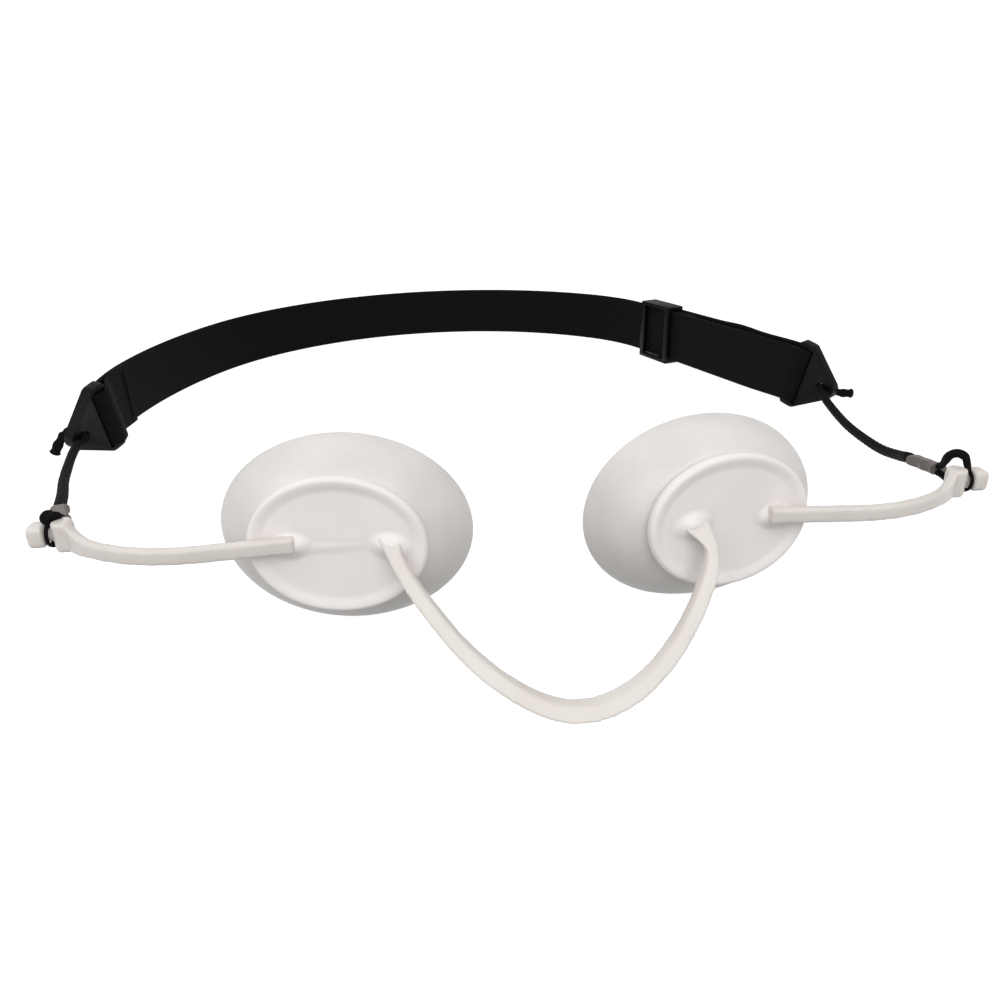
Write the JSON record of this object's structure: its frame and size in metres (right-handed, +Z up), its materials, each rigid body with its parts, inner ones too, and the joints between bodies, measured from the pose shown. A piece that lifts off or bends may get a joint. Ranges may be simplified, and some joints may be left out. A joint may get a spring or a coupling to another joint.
{
  "type": "disposable laser eye shield",
  "caption": "Pair of opaque soft eye cups on a moulded front frame with a bent nose bridge and side arms, held on by an adjustable elastic head strap with cord ends.",
  "frame": {"origin": "middle of the shield's footprint on the table it stands on, without the free cords and what is on them", "axes": "+X to the wearer's left, +Y from the eye cups to the back of the head strap, +Z up; millimetres in the source, metres in the row"},
  "size_m": [0.2309, 0.2621, 0.035],
  "materials": {
    "soft_cup": "soft translucent satin elastomer",
    "plate_plastic": "satin injection moulded",
    "frame_plastic": "satin injection moulded",
    "insert_metal": "plain blanked sheet",
    "crimp_grey": "satin, crimped flat in two places",
    "cord_black": "braided elastic cord",
    "webbing_black": "woven elastic webbing",
    "thread_black": "sewing thread",
    "clip_plastic": "moulded, low gloss"
  },
  "bodies": {
    "eye_frame": {"left_front_plate": "plate_plastic", "right_front_plate": "plate_plastic", "left_blocking_insert": "insert_metal", "right_blocking_insert": "insert_metal", "left_eye_cup": "soft_cup", "right_eye_cup": "soft_cup", "nose_bridge": "frame_plastic", "left_side_arm": "frame_plastic", "right_side_arm": "frame_plastic"},
    "headband": {"head_strap": "webbing_black", "left_cord_loop": "cord_black", "right_cord_loop": "cord_black", "left_crimp_sleeve": "crimp_grey", "right_crimp_sleeve": "crimp_grey", "left_cord": "cord_black", "right_cord": "cord_black", "left_strap_fold": "webbing_black", "left_bar_tack": "thread_black", "right_strap_fold": "webbing_black", "strap_adjusting_layer": "webbing_black"},
    "left_clip": {"left_end_clip": "clip_plastic", "left_cord_knot": "cord_black"},
    "right_clip": {"right_end_clip": "clip_plastic", "right_cord_knot": "cord_black"},
    "slider": {"strap_slider": "clip_plastic", "strap_sewn_end": "webbing_black", "slider_bar_tack": "thread_black"}
  },
  "joints": [
    {"name": "headband_swing", "type": "hinge", "parent": "eye_frame", "child": "headband", "pos_m": [0.0043, -0.098, 0.0209], "axis": [1, 0, 0], "range_deg": [-60, 120]},
    {"name": "strap_slide", "type": "slide", "parent": "headband", "child": "slider", "axis": [0.3404, -0.9403, 0], "range_m": [0, 0.02], "deforming": ["strap_adjusting_layer"]},
    {"name": "left_clip_hinge", "type": "hinge", "parent": "headband", "child": "left_clip", "pos_m": [-0.10297, 0.0007, 0.01105], "axis": [0.0138, -0.3581, 0.9336], "range_deg": [-35, 70], "deforming": ["left_cord"]},
    {"name": "right_clip_hinge", "type": "hinge", "parent": "headband", "child": "right_clip", "pos_m": [0.1028, 0.00993, 0.01105], "axis": [0.0938, -0.2592, 0.9613], "range_deg": [-50, 60], "deforming": ["right_cord"]}
  ]
}
